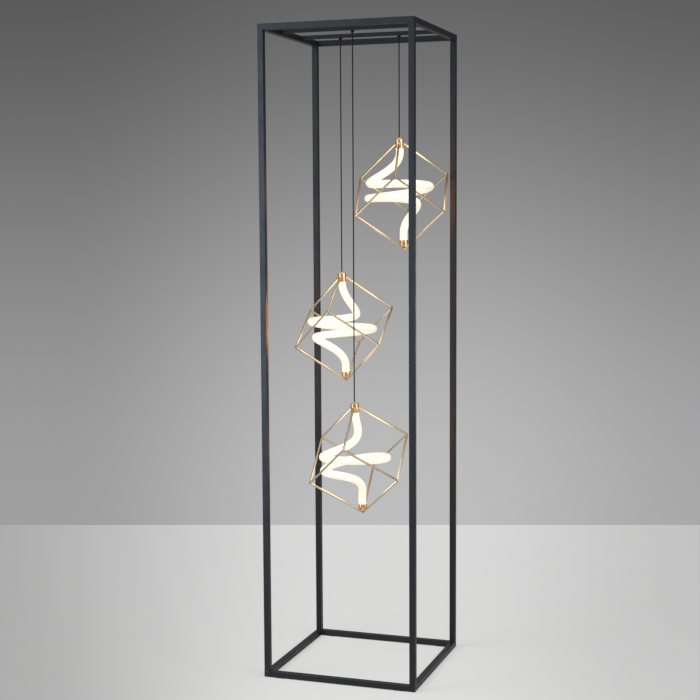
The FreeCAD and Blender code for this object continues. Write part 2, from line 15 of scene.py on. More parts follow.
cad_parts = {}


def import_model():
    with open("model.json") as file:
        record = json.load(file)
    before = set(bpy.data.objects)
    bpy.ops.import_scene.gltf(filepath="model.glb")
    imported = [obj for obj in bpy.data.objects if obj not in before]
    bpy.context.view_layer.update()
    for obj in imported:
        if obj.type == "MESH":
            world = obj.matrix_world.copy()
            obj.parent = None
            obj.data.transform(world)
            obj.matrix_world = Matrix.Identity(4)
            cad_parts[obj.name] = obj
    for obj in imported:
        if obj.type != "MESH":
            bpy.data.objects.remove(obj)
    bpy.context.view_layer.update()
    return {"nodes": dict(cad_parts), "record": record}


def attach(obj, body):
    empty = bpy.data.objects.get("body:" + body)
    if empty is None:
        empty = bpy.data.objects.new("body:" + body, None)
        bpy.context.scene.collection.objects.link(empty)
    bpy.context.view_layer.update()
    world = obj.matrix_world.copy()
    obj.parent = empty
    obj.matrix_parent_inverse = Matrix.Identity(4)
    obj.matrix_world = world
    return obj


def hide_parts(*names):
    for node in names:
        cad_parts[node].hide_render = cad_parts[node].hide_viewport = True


logging.basicConfig(level=logging.INFO, format="%(message)s")
log = logging.getLogger("floor_lamp")

Node, Socket, Tree = bpy.types.Node, bpy.types.NodeSocket, bpy.types.NodeTree

MM = 0.001

# The curve that sRGB colours follow: a straight toe, then a power.
TOE_END, TOE_SLOPE = 0.04045, 12.92
CURVE_SHIFT, CURVE_POWER = 0.055, 2.4

# Eased edges: the steps across one, the least angle that is eased, and the least that shades as an edge.
EASE_STEPS, EASE_ANGLE, CREASE_ANGLE = 2, math.radians(30), math.radians(34)

# The order at which a spline curves between its points. One less would run straight.
SPLINE_ORDER = 3


def linear(hex_colour: str) -> tuple[float, float, float, float]:
    """Turn an sRGB hex colour into linear light.

    Args:
        hex_colour: Six hex digits with a leading hash sign.

    Returns:
        Red, green, blue and an alpha of one, in linear light.
    """
    parts = [int(hex_colour[i : i + 2], 16) / 255 for i in (1, 3, 5)]
    light = [
        c / TOE_SLOPE if c <= TOE_END else ((c + CURVE_SHIFT) / (1 + CURVE_SHIFT)) ** CURVE_POWER
        for c in parts
    ]
    return light[0], light[1], light[2], 1.0


def result(node: Node) -> Socket:
    """The first output that a node's settings leave in use."""
    return next(socket for socket in node.outputs if socket.enabled)


def add_node(tree: Tree, kind: str, settings: dict[str, object] | None = None, **links: object) -> Node:
    """Add one node to a tree, with its settings and what feeds it.

    Args:
        tree: The node tree.
        kind: The node's type name.
        settings: Attributes of the node itself.
        **links: Values, sockets or nodes for its inputs, by name, with spaces as underscores. A number after
            a double underscore picks one of several inputs of the same name.

    Returns:
        The new node.
    """
    node = tree.nodes.new(kind)
    for name, value in (settings or {}).items():
        setattr(node, name, value)
    for key, value in links.items():
        name, _, index = key.partition("__")
        same = [s for s in node.inputs if s.name.replace(" ", "_") == name and s.enabled]
        socket = same[int(index or 0)]
        if isinstance(value, (Node, Socket)):
            tree.links.new(result(value) if isinstance(value, Node) else value, socket)
        else:
            socket.default_value = value
    return node


class Sheen(Enum):
    """How closely a surface reflects, as a roughness."""

    POLISHED = 0.16
    BRUSHED = 0.3
    SATIN = 0.38
    EGGSHELL = 0.48
    MATT = 0.62
    FIBROUS = 0.95


@dataclass(frozen=True)
class Finish:
    """A finish in two close tones of a fine grain, with a roughness that drifts over larger patches."""

    name: str
    colour: str
    second_colour: str
    sheen: Sheen
    metallic: float = 0.0
    ior: float = 1.5
    specular: float = 0.5
    grain_mm: float = 1.0
    grain_detail: float = 2.0
    bump_mm: float = 0.02
    bump_strength: float = 0.6
    patch_mm: float = 45.0
    patch_detail: float = 1.0
    patch_band: tuple[float, float] = (0.3, 0.7)
    drift: float = 0.05

    def grain(self, tree: Tree, place: Socket) -> Node:
        """Draw the surface's own pattern.

        Args:
            tree: The material's tree.
            place: Where a point is on the object.

        Returns:
            The node that gives the pattern as a height from 0 to 1.
        """
        return add_node(
            tree, "ShaderNodeTexNoise", Vector=place, Scale=1 / (self.grain_mm * MM), Detail=self.grain_detail
        )

    def finish_shader(self, shader: Node) -> None:
        """Set on the shader what only some finishes have. A plain finish has nothing more."""

    def material(self) -> bpy.types.Material:
        """Make the material once: two tones in the grain, a drifting roughness and a bump.

        Returns:
            The material.
        """
        known = bpy.data.materials.get(self.name)
        if known:
            return known
        material = bpy.data.materials.new(self.name)
        material.use_nodes = True
        tree = material.node_tree
        tree.nodes.clear()
        place = add_node(tree, "ShaderNodeTexCoord").outputs["Object"]
        height = self.grain(tree, place)
        tones = add_node(
            tree, "ShaderNodeMix", {"data_type": "RGBA"}, Factor=height, A=linear(self.colour),
            B=linear(self.second_colour),
        )
        patches = add_node(
            tree, "ShaderNodeTexNoise", Vector=place, Scale=1 / (self.patch_mm * MM), Detail=self.patch_detail
        )
        least, most = self.patch_band
        roughness = add_node(
            tree, "ShaderNodeMapRange", Value=patches, From_Min=least, From_Max=most,
            To_Min=self.sheen.value - self.drift, To_Max=self.sheen.value + self.drift,
        )
        bump = add_node(
            tree, "ShaderNodeBump", Strength=self.bump_strength, Distance=self.bump_mm * MM, Height=height
        )
        shader = add_node(
            tree, "ShaderNodeBsdfPrincipled", Base_Color=tones, Metallic=self.metallic, IOR=self.ior,
            Specular_IOR_Level=self.specular, Roughness=roughness, Normal=bump,
        )
        self.finish_shader(shader)
        add_node(tree, "ShaderNodeOutputMaterial", Surface=shader)
        return material


@dataclass(frozen=True)
class SprayedCoat(Finish):
    """A baked powder coat: the orange peel of beads that have run together."""

    bead_blend: float = 1.0

    def grain(self, tree: Tree, place: Socket) -> Node:
        """Draw soft round beads, blended where they met."""
        return add_node(
            tree, "ShaderNodeTexVoronoi", {"feature": "SMOOTH_F1"}, Vector=place,
            Scale=1 / (self.grain_mm * MM), Smoothness=self.bead_blend,
        )


@dataclass(frozen=True)
class Plating(Finish):
    """Metal plated and lacquered: a warm mirror under a thin clear coat."""

    lacquer: float = 0.7
    lacquer_roughness: float = 0.06

    def finish_shader(self, shader: Node) -> None:
        """Lay the clear lacquer over the metal."""
        shader.inputs["Coat Weight"].default_value = self.lacquer
        shader.inputs["Coat Roughness"].default_value = self.lacquer_roughness


@dataclass(frozen=True)
class MouldedPlastic(Finish):
    """Plastic from a spark-eroded mould: shallow round pits."""

    def grain(self, tree: Tree, place: Socket) -> Node:
        """Draw the pits."""
        return add_node(tree, "ShaderNodeTexVoronoi", Vector=place, Scale=1 / (self.grain_mm * MM))


@dataclass(frozen=True)
class Fleece(Finish):
    """Pressed fibres, with the soft edge light of loose ends."""

    fuzz: float = 0.5

    def finish_shader(self, shader: Node) -> None:
        """Give the loose fibres their sheen."""
        shader.inputs["Sheen Weight"].default_value = self.fuzz


@dataclass(frozen=True)
class LitHose(Finish):
    """A milky hose lit from inside, a little darker where the eye looks through more of its skin."""

    glow: str = "#fff7e8"
    strength: float = 0.73
    skin: float = 1.0
    skin_roughness: float = 0.3
    skin_tint: str = "#fffaf2"

    def finish_shader(self, shader: Node) -> None:
        """Light the hose, under a clear skin that takes some light at its edges.

        Args:
            shader: The material's shader.
        """
        for socket, value in (
            ("Emission Color", linear(self.glow)), ("Emission Strength", self.strength),
            ("Coat Weight", self.skin), ("Coat Roughness", self.skin_roughness),
            ("Coat IOR", self.ior), ("Coat Tint", linear(self.skin_tint)),
        ):
            shader.inputs[socket].default_value = value


# Each material slot of the lamp and the finish that it takes.
FINISHES = {
    # Polyester powder coat on steel tube, sprayed and baked: near black and cool, with a fine orange peel.
    # Matting agents in the powder take some of the gloss away.
    "frame_coat": SprayedCoat(
        "powder_coat_anthracite", "#16171a", "#1c1e21", Sheen.EGGSHELL, specular=0.27, grain_mm=1.1,
        bump_mm=0.06,
    ),
    # Mild steel as it was sawn, with a faint skin of oil: grey and streaky.
    "bare_steel": Finish("mild_steel_sawn", "#8b8b8c", "#6f7072", Sheen.SATIN, metallic=1.0, grain_mm=0.6),
    # High-tensile screws in black oxide, slightly oily: a dull dark metal.
    "black_steel": Finish("black_oxide_steel", "#141416", "#222226", Sheen.SATIN, metallic=0.6, grain_mm=0.4),
    # Wool felt cut from sheet: dull and dark, with fibres that stand out.
    "felt": Fleece(
        "wool_felt_charcoal", "#1c1c1d", "#333335", Sheen.FIBROUS, grain_mm=0.5, grain_detail=5.0,
        bump_mm=0.25,
    ),
    # Moulded black nylon with a fine spark finish: an even soft shine.
    "black_plastic": MouldedPlastic(
        "nylon_moulded_black", "#060607", "#0c0c0d", Sheen.SATIN, specular=0.2, grain_mm=0.5
    ),
    # Soft vinyl cable jacket, smooth from the extruder: black, with long dull patches.
    "cord_jacket": Finish(
        "vinyl_cable_jacket", "#070708", "#0e0e10", Sheen.MATT, specular=0.22, grain_mm=0.9, bump_mm=0.01
    ),
    # Turned steel plated in rose gold and lacquered: a warm mirror, a little uneven from hand polishing.
    "gold_metal": Plating(
        "rose_gold_plated_steel", "#f2c79a", "#ecbc8a", Sheen.POLISHED, metallic=1.0, grain_mm=9.0,
        bump_mm=0.0, drift=0.04, patch_mm=25.0,
    ),
    # Drawn steel bar in the same gold, a darker and paler copy of the caps' gold: painted shade and a painted
    # cream highlight tone in its colour, with a broader shine.
    "gold_bar": Plating(
        "champagne_gold_plated_bar", "#cfbf9f", "#cab592", Sheen.BRUSHED, metallic=1.0, grain_mm=6.0,
        bump_mm=0.0, drift=0.03, patch_mm=30.0,
    ),
    # Milky silicone hose over a strip of lamps: an even warm white.
    "light_tube": LitHose(
        "opal_silicone_hose", "#f6f3ec", "#f3efe6", Sheen.SATIN, ior=1.41, grain_mm=4.0, bump_mm=0.01,
        drift=0.03,
    ),
    # White flexible strip with lamps under a yellow phosphor, hidden in the hose.
    "led_strip": Finish("phosphor_lamp_strip", "#f4e9c8", "#e3cf8e", Sheen.SATIN, grain_mm=5.0),
}


@dataclass(frozen=True)
class PhotoCamera:
    """The photograph's camera: where it stood, where it looked, and its lens."""

    place: tuple[float, float, float] = (1.1675, -3.5198, 1.1821)
    yaw: float = -18.8275
    pitch: float = -5.494
    roll: float = 0.3216
    focal_px: float = 1441.4
    image_px: float = 700.0
    sensor_mm: float = 36.0
    nearest: float = 0.05
    furthest: float = 60.0

    def axes(self) -> tuple[Vector, Vector, Vector]:
        """Work out the camera's directions.

        Returns:
            Right, down and forward in the picture.
        """
        yaw, pitch, roll = (math.radians(a) for a in (self.yaw, self.pitch, self.roll))
        forward = Vector((math.sin(yaw) * math.cos(pitch), math.cos(yaw) * math.cos(pitch), math.sin(pitch)))
        level = Vector((math.cos(yaw), -math.sin(yaw), 0.0))
        plumb = forward.cross(level)
        right = math.cos(roll) * level + math.sin(roll) * plumb
        down = -math.sin(roll) * level + math.cos(roll) * plumb
        return right, down, forward

    def build(self) -> None:
        """Make the camera and hand it to the scene."""
        right, down, forward = self.axes()
        data = bpy.data.cameras.new("photo_camera")
        data.sensor_fit = "HORIZONTAL"
        data.sensor_width = self.sensor_mm
        data.lens = self.focal_px * self.sensor_mm / self.image_px
        data.clip_start, data.clip_end = self.nearest, self.furthest
        camera = bpy.data.objects.new("photo_camera", data)
        turn = Matrix((right, -down, -forward)).transposed()
        camera.matrix_world = Matrix.Translation(self.place) @ turn.to_4x4()
        bpy.context.scene.collection.objects.link(camera)
        bpy.context.scene.camera = camera

    def on_floor(self, x_px: float, y_px: float) -> Vector:
        """Find the floor point that the picture shows at a pixel.

        Args:
            x_px: Pixels from the left edge.
            y_px: Pixels from the top edge.

        Returns:
            The point on the floor.
        """
        right, down, forward = self.axes()
        half = self.image_px / 2
        ray = forward + right * ((x_px - half) / self.focal_px) + down * ((y_px - half) / self.focal_px)
        start = Vector(self.place)
        return start + ray * (-start.z / ray.z)


def link_mesh(
    name: str, mesh: bpy.types.Mesh, material: bpy.types.Material | None = None
) -> bpy.types.Object:
    """Put a mesh in the scene.

    Args:
        name: The object's name.
        mesh: The mesh, in the frame's own coordinates.
        material: What it is made of.

    Returns:
        The new object.
    """
    mesh.name = name
    piece = bpy.data.objects.new(name, mesh)
    bpy.context.scene.collection.objects.link(piece)
    if material:
        mesh.materials.clear()
        mesh.materials.append(material)
    return piece


def plain_mesh(piece: bpy.types.Object) -> bpy.types.Object:
    """Turn an object with its modifiers into one plain mesh object of the same name.

    Args:
        piece: The object to settle.

    Returns:
        The plain object.
    """
    bpy.context.view_layer.update()
    seen = bpy.context.evaluated_depsgraph_get()
    mesh = bpy.data.meshes.new_from_object(piece.evaluated_get(seen), depsgraph=seen)
    name = piece.name
    bpy.data.objects.remove(piece)
    return link_mesh(name, mesh)


def lathe(profile: list[tuple[float, float]], turns: int = 72) -> bmesh.types.BMesh:
    """Turn a closed outline about the Z axis.

    Args:
        profile: Radius and height of each corner in order, in millimetres. A radius of zero is on the axis.
        turns: Steps in a full turn.

    Returns:
        The mesh under construction, with its faces pointing outwards.
    """
    shape = bmesh.new()
    rings = []
    for radius, height in profile:
        if radius == 0:
            rings.append([shape.verts.new((0, 0, height * MM))] * turns)
            continue
        ring = []
        for step in range(turns):
            angle = 2 * math.pi * step / turns
            spot = Vector((radius * math.cos(angle), radius * math.sin(angle), height))
            ring.append(shape.verts.new(spot * MM))
        rings.append(ring)
    for ring, beyond in zip(rings, rings[1:] + rings[:1]):
        for step in range(turns):
            after = (step + 1) % turns
            corners = [ring[step], ring[after], beyond[after], beyond[step]]
            once = list(dict.fromkeys(corners))
            if len(once) > 2:
                shape.faces.new(once)
    bmesh.ops.recalc_face_normals(shape, faces=shape.faces)
    return shape


def settle(
    shape: bmesh.types.BMesh, name: str, place: Matrix, finish: Finish, ease_mm: float
) -> bpy.types.Object:
    """Finish a mesh under construction: place it, ease its edges and shade it.

    Args:
        shape: The mesh under construction, freed here.
        name: The object's name.
        place: Where it goes in the frame.
        finish: What it is made of.
        ease_mm: How far its sharp edges are rounded.

    Returns:
        The finished object.
    """
    mesh = bpy.data.meshes.new(name)
    shape.to_mesh(mesh)
    shape.free()
    mesh.transform(place)
    piece = link_mesh(name, mesh, finish.material())
    bevel = piece.modifiers.new("eased_edges", "BEVEL")
    bevel.width = ease_mm * MM
    bevel.segments = EASE_STEPS
    bevel.limit_method = "ANGLE"
    bevel.angle_limit = EASE_ANGLE
    piece = plain_mesh(piece)
    piece.data.shade_smooth()
    piece.data.set_sharp_from_angle(angle=CREASE_ANGLE)
    return piece


class SweepTree:
    """A geometry tree that sweeps a round section along a curve."""

    name = "round_sweep"

    def __init__(self) -> None:
        """Build the tree once, with named inputs."""
        self.tree = bpy.data.node_groups.new(self.name, "GeometryNodeTree")
        face = self.tree.interface
        face.new_socket("Curve", in_out="INPUT", socket_type="NodeSocketGeometry")
        self.radius, self.steps, self.finish = (
            face.new_socket(name, in_out="INPUT", socket_type=kind).identifier
            for name, kind in (
                ("Section radius", "NodeSocketFloat"), ("Section steps", "NodeSocketInt"),
                ("Finish", "NodeSocketMaterial"),
            )
        )
        face.new_socket("Mesh", in_out="OUTPUT", socket_type="NodeSocketGeometry")
        entry = add_node(self.tree, "NodeGroupInput")
        section = add_node(
            self.tree, "GeometryNodeCurvePrimitiveCircle", Resolution=entry.outputs["Section steps"],
            Radius=entry.outputs["Section radius"],
        )
        swept = add_node(
            self.tree, "GeometryNodeCurveToMesh", Curve=entry.outputs["Curve"], Profile_Curve=section,
            Fill_Caps=True,
        )
        smooth = add_node(self.tree, "GeometryNodeSetShadeSmooth", Geometry=swept)
        real = add_node(self.tree, "GeometryNodeRealizeInstances", Geometry=smooth)
        coated = add_node(
            self.tree, "GeometryNodeSetMaterial", Geometry=real, Material=entry.outputs["Finish"]
        )
        add_node(self.tree, "NodeGroupOutput", Mesh=coated)

    def sweep(
        self, name: str, points: list[Vector], radius_mm: float, steps: int, finish: Finish
    ) -> bpy.types.Object:
        """Sweep a round bar through close points.

        Args:
            name: The object's name.
            points: Points in the frame, in metres.
            radius_mm: Radius of the bar.
            steps: Sides of its section.
            finish: What it is made of.

        Returns:
            The bar as a plain mesh.
        """
        data = bpy.data.curves.new(name, "CURVE")
        data.dimensions = "3D"
        line = data.splines.new("POLY")
        line.points.add(len(points) - 1)
        for spot, point in zip(line.points, points):
            spot.co = (*point, 1.0)
        piece = bpy.data.objects.new(name, data)
        bpy.context.scene.collection.objects.link(piece)
        nodes = piece.modifiers.new(self.name, "NODES")
        nodes.node_group = self.tree
        nodes[self.radius] = radius_mm * MM
        nodes[self.steps] = steps
        nodes[self.finish] = finish.material()
        return plain_mesh(piece)


def natural_curve(knots: np.ndarray, samples: int) -> np.ndarray:
    """Run a smooth cubic curve through knots, free at both ends.

    Args:
        knots: One point a row.
        samples: How many points to return.

    Returns:
        Close points along the curve.
    """
    reach = np.r_[0.0, np.cumsum(np.linalg.norm(np.diff(knots, axis=0), axis=1))]
    gap = np.diff(reach)
    count = len(knots)
    matrix = np.eye(count)
    right = np.zeros((count, knots.shape[1]))
    for i in range(1, count - 1):
        matrix[i, i - 1 : i + 2] = gap[i - 1], 2 * (gap[i - 1] + gap[i]), gap[i]
        right[i] = 6 * ((knots[i + 1] - knots[i]) / gap[i] - (knots[i] - knots[i - 1]) / gap[i - 1])
    bend = np.linalg.solve(matrix, right)
    along = np.linspace(0.0, reach[-1], samples)
    span = np.clip(np.searchsorted(reach, along, side="right") - 1, 0, count - 2)
    h = gap[span][:, None]
    a = (reach[span + 1] - along)[:, None]
    b = (along - reach[span])[:, None]
    low, high = bend[span], bend[span + 1]
    return (
        low * a**3 / (6 * h) + high * b**3 / (6 * h)
        + (knots[span] / h - low * h / 6) * a + (knots[span + 1] / h - high * h / 6) * b
    )


class Storey(Enum):
    """Which pendant, from the top of the lamp down."""

    UPPER = "upper"
    MIDDLE = "middle"
    LOWER = "lower"


@dataclass
class Pendant:
    """One cord with its cube, caps and light tube. Lengths are in millimetres, angles in degrees.

    Each pair of bend shares is the light tube's distance from the cube's middle line and its height, one coil
    step after the last, as shares of their most.
    """

    storey: Storey
    across: float
    depth: float
    drop: float
    heading: float
    tilt: float
    lean: float
    coil_heading: float
    bend_shares: list[tuple[float, float]]
    cube_edge: float = 162.0
    bar: float = 4.0
    bar_ease: float = 0.35
    light_radius: float = 10.0
    light_sides: int = 48
    light_samples: int = 360
    cap_radius: float = 11.1
    cap_bore: float = 10.1
    cap_chamfer: float = 0.8
    cap_ease: float = 0.2
    top_cap_rise: float = 2.5
    top_cap_height: float = 23.0
    top_cap_end_wall: float = 3.0
    top_cap_chamber: float = 5.0
    top_cap_chamber_radius: float = 8.0
    bottom_cap_lift: float = 5.5
    bottom_cap_height: float = 17.5
    bottom_cap_floor_lift: float = 4.9
    bottom_cap_floor: float = 1.6
    collar_radius: float = 4.0
    collar_height: float = 3.5
    collar_stem_radius: float = 3.0
    collar_clearance: float = 0.1
    collar_bore: float = 1.8
    collar_ease: float = 0.12
    coil_radius: float = 90.0
    coil_step: float = 60.0
    straight_gap: float = 1.3
    straight_length: float = 8.5
    bar_level: float = 1630.0
    cord_top: float = 1618.8
    cord_end_depth: float = 6.0
    cord_diameter: float = 3.0
    cord_straight_end: float = 18.0
    cord_roundness: int = 6
    pieces: list[bpy.types.Object] = field(default_factory=list)

    @property
    def name(self) -> str:
        """The pendant's name in the frame."""
        return self.storey.value

    @property
    def half_diagonal(self) -> float:
        """Half of the cube's body diagonal."""
        return self.cube_edge * math.sqrt(3) / 2

    @property
    def corner_below_collar(self) -> float:
        """How far the cube's corner lies below the middle of the nut, where the cube tips."""
        return self.top_cap_rise + self.collar_height / 2

    def place(self) -> Matrix:
        """Place a shape whose origin is the cube's top corner and whose cube hangs plumb.

        Returns:
            Where it goes in the frame.
        """
        lean = math.radians(self.lean)
        pivot = Vector((self.across, self.depth, self.bar_level - self.drop + self.corner_below_collar)) * MM
        tilt = Matrix.Rotation(math.radians(self.tilt), 4, Vector((-math.sin(lean), math.cos(lean), 0)))
        hang = Matrix.Rotation(math.radians(self.heading), 4, "Z")
        drop = Matrix.Translation((0, 0, -self.corner_below_collar * MM))
        return Matrix.Translation(pivot) @ tilt @ hang @ drop

    def middle(self) -> Matrix:
        """Place a shape whose origin is the cube's middle."""
        return self.place() @ Matrix.Translation((0, 0, -self.half_diagonal * MM))

    def directions(self) -> list[Vector]:
        """The three ways that the cube's bars run from its top corner.

        Returns:
            One direction for each way.
        """
        down = 1 / math.sqrt(3)
        out = math.sqrt(2) * down
        thirds = [2 * math.pi * third / 3 for third in range(3)]
        return [Vector((out * math.cos(a), out * math.sin(a), -down)) for a in thirds]

    def cube(self) -> bpy.types.Object:
        """Build the cube of twelve mitred square bars with eased edges.

        Returns:
            The cube.
        """
        shape = bmesh.new()
        directions = self.directions()
        half = self.bar / 2
        for along in range(3):
            others = [axis for axis in range(3) if axis != along]
            for corner in ((0, 0), (0, 1), (1, 0), (1, 1)):
                near, away = [], []
                for first, second in ((-half, -half), (half, -half), (half, half), (-half, half)):
                    side = Vector((0, 0, 0))
                    for axis, far, inward in zip(others, corner, (first, second)):
                        side += directions[axis] * (self.cube_edge - inward if far else inward)
                    mitre = max(first, second)
                    start = self.reach_cap(side, directions[along]) if corner == (0, 0) else mitre
                    near.append(shape.verts.new((side + directions[along] * start) * MM))
                    away.append(shape.verts.new((side + directions[along] * (self.cube_edge - mitre)) * MM))
                shape.faces.new((near[0], near[1], near[2]))
                shape.faces.new((near[0], near[2], near[3]))
                shape.faces.new((away[0], away[2], away[1]))
                shape.faces.new((away[0], away[3], away[2]))
                for step in range(4):
                    after = (step + 1) % 4
                    shape.faces.new((near[step], near[after], away[after], away[step]))
        bmesh.ops.recalc_face_normals(shape, faces=shape.faces)
        return settle(shape, f"{self.name}_wire_cube", self.place(), FINISHES["gold_bar"], self.bar_ease)

    def reach_cap(self, side: Vector, along: Vector) -> float:
        """How far a bar's edge starts from the corner, so that it ends at the round cap.

        Args:
            side: Where the edge passes the corner.
            along: The way the edge runs.

        Returns:
            The distance along the edge.
        """
        a = along.x**2 + along.y**2
        b = 2 * (side.x * along.x + side.y * along.y)
        c = side.x**2 + side.y**2 - self.cap_radius**2
        return (-b + math.sqrt(b * b - 4 * a * c)) / (2 * a)

    def knots(self) -> np.ndarray:
        """The points that the light tube bends through, from the cube's middle, in millimetres.

        Returns:
            One point a row.
        """
        clear = self.straight_gap + self.straight_length
        above = self.half_diagonal + self.top_cap_rise - self.top_cap_height - clear
        below = self.half_diagonal - self.bottom_cap_lift - self.bottom_cap_height - clear
        points = [(0, 0, above + self.straight_length), (0, 0, above)]
        middle = (len(self.bend_shares) - 1) / 2
        for step, (radius_share, height_share) in enumerate(self.bend_shares):
            angle = math.radians(self.coil_heading + (step - middle) * self.coil_step)
            radius = radius_share * self.coil_radius
            height = height_share * (above if height_share > 0 else below)
            points.append((radius * math.cos(angle), radius * math.sin(angle), height))
        points += [(0, 0, -below), (0, 0, -below - self.straight_length)]
        return np.array(points, float)

    def light_tube(self, sweeper: SweepTree) -> bpy.types.Object:
        """Sweep the bent light tube.

        Args:
            sweeper: The geometry tree for round bars.

        Returns:
            The tube.
        """
        curve = natural_curve(self.knots(), self.light_samples)
        upper_end = self.half_diagonal + self.top_cap_rise - self.top_cap_end_wall - self.top_cap_chamber
        floor = self.bottom_cap_lift + self.bottom_cap_floor_lift + self.bottom_cap_floor
        lower_end = self.half_diagonal - floor
        rows = np.vstack([[0, 0, upper_end], curve, [0, 0, -lower_end]])
        place = self.middle()
        points = [place @ (Vector(row) * MM) for row in rows]
        name = f"{self.name}_glowing_tube"
        return sweeper.sweep(name, points, self.light_radius, self.light_sides, FINISHES["light_tube"])

    def top_cup(self) -> bpy.types.Object:
        """Turn the cap at the cube's top corner.

        Returns:
            The cap.
        """
        hole = self.collar_stem_radius + self.collar_clearance
        rise = self.top_cap_rise
        seat = rise - self.top_cap_end_wall - self.top_cap_chamber
        chamber_top = seat + self.top_cap_chamber
        shape = lathe([
            (hole, rise), (self.cap_radius - self.cap_chamfer, rise),
            (self.cap_radius, rise - self.cap_chamfer), (self.cap_radius, rise - self.top_cap_height),
            (self.cap_bore, rise - self.top_cap_height), (self.cap_bore, seat),
            (self.top_cap_chamber_radius, seat), (self.top_cap_chamber_radius, chamber_top),
            (hole, chamber_top),
        ])
        return settle(shape, f"{self.name}_top_cup", self.place(), FINISHES["gold_metal"], self.cap_ease)

    def bottom_cup(self) -> bpy.types.Object:
        """Turn the cap in the cube's bottom corner, which the three lowest bars run into.

        Returns:
            The cap.
        """
        low = self.bottom_cap_lift - 2 * self.half_diagonal
        high = low + self.bottom_cap_height
        floor = low + self.bottom_cap_floor_lift
        shape = lathe([
            (self.cap_bore, low), (self.cap_radius, low), (self.cap_radius, high), (self.cap_bore, high),
            (self.cap_bore, floor + self.bottom_cap_floor), (0, floor + self.bottom_cap_floor), (0, floor),
            (self.cap_bore, floor),
        ])
        return settle(shape, f"{self.name}_bottom_cup", self.place(), FINISHES["gold_metal"], self.cap_ease)

    def cord_nut(self) -> bpy.types.Object:
        """Turn the nut that the cord comes through.

        Returns:
            The nut.
        """
        head, stem, bore = self.collar_radius, self.collar_stem_radius, self.collar_bore
        foot = self.top_cap_rise - self.top_cap_end_wall
        top = self.top_cap_rise + self.collar_height
        shape = lathe([
            (bore, foot), (stem, foot), (stem, self.top_cap_rise), (head, self.top_cap_rise),
            (head, top - self.cap_chamfer), (head - self.cap_chamfer, top), (bore, top),
        ])
        return settle(shape, f"{self.name}_cord_nut", self.place(), FINISHES["gold_metal"], self.collar_ease)

    def cord(self) -> None:
        """Run the cord plumb from its grip into the cap."""
        foot_level = self.bar_level - self.drop + self.top_cap_rise + self.collar_height - self.cord_end_depth
        top = Vector((self.across, self.depth, self.cord_top)) * MM
        foot = Vector((self.across, self.depth, foot_level)) * MM
        held_straight = Vector((0, 0, self.cord_straight_end * MM))
        route = (top, top - held_straight, foot + held_straight, foot)
        name = f"{self.name}_flex"
        data = bpy.data.curves.new(name, "CURVE")
        data.dimensions = "3D"
        data.bevel_depth = self.cord_diameter / 2 * MM
        data.bevel_resolution = self.cord_roundness
        data.use_fill_caps = True
        line = data.splines.new("NURBS")
        line.points.add(len(route) - 1)
        for spot, point in zip(line.points, route):
            spot.co = (*point, 1.0)
        line.order_u = SPLINE_ORDER
        line.use_endpoint_u = True
        data.materials.append(FINISHES["cord_jacket"].material())
        piece = bpy.data.objects.new(name, data)
        bpy.context.scene.collection.objects.link(piece)
        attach(piece, f"{self.name}_line")
        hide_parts(f"{self.name}_cord")

    def build(self, sweeper: SweepTree) -> None:
        """Build and dress everything that hangs on this cord below its grip.

        Args:
            sweeper: The geometry tree for round bars.
        """
        for piece, node, slot in (
            (self.cube(), "cube_frame", "gold_metal"),
            (self.light_tube(sweeper), "light_tube", "light_tube"),
            (self.top_cup(), "top_cap", "gold_metal"),
            (self.bottom_cup(), "bottom_cap", "gold_metal"),
            (self.cord_nut(), "collar_nut", "gold_metal"),
        ):
            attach(piece, f"{self.name}_pendant")
            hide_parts(f"{self.name}_{node}")
            self.pieces.append(piece)
            log.info("%s: %d faces", piece.name, len(piece.data.polygons))


def light_only(light: bpy.types.Object, pieces: list[bpy.types.Object]) -> None:
    """Let a light reach only some pieces.

    Args:
        light: The light.
        pieces: What it lights.
    """
    lit = bpy.data.collections.new(light.name)
    for piece in pieces:
        lit.objects.link(piece)
    light.light_linking.receiver_collection = lit


@dataclass(frozen=True)
class TubeLight:
    """Light that a glowing tube throws on one kind of thing round it, hung in the middle of its cube."""

    name: str
    watts: float
    radius_mm: float
    colour: str

    def hang(self, pendant: Pendant, takers: list[bpy.types.Object]) -> None:
        """Hang the light.

        Args:
            pendant: The pendant whose tube it stands for.
            takers: The pieces that take its light. The tubes, with their own glow, are never among them.
        """
        data = bpy.data.lights.new(f"{pendant.name}_{self.name}", "POINT")
        data.energy = self.watts
        data.color = linear(self.colour)[:3]
        data.shadow_soft_size = self.radius_mm * MM
        light = bpy.data.objects.new(data.name, data)
        light.location = pendant.middle().translation
        bpy.context.scene.collection.objects.link(light)
        light_only(light, takers)


# The sides of the bars that face the tube are cream, and the dark frame beside a cube has a soft amber glow.
SPARKLE = TubeLight("sparkle_on_gold", watts=0.7, radius_mm=95.0, colour="#fff3dc")
SPILL = TubeLight("glow_on_frame", watts=3.4, radius_mm=60.0, colour="#ff9c58")


@dataclass
class CadDress:
    """Gives every CAD node that stays its finish."""

    nodes: dict[str, bpy.types.Object]
    slots: dict[str, str]

    def dress(self) -> None:
        """Give each node the finish of its material slot."""
        for name, node in self.nodes.items():
            node.data.materials.clear()
            node.data.materials.append(FINISHES[self.slots[name]].material())
            for face in node.data.polygons:
                face.material_index = 0
        log.info("dressed %d nodes", len(self.nodes))


class Lit(Enum):
    """What a lamp lights."""

    EVERYTHING = "everything"
    FRONT_STEEL = "front posts, bottom rails and top front rail"
    FRONT_RIGHT_POST = "front right post"
    BACK_POSTS = "back posts"
    GOLD = "cubes, caps and nuts"


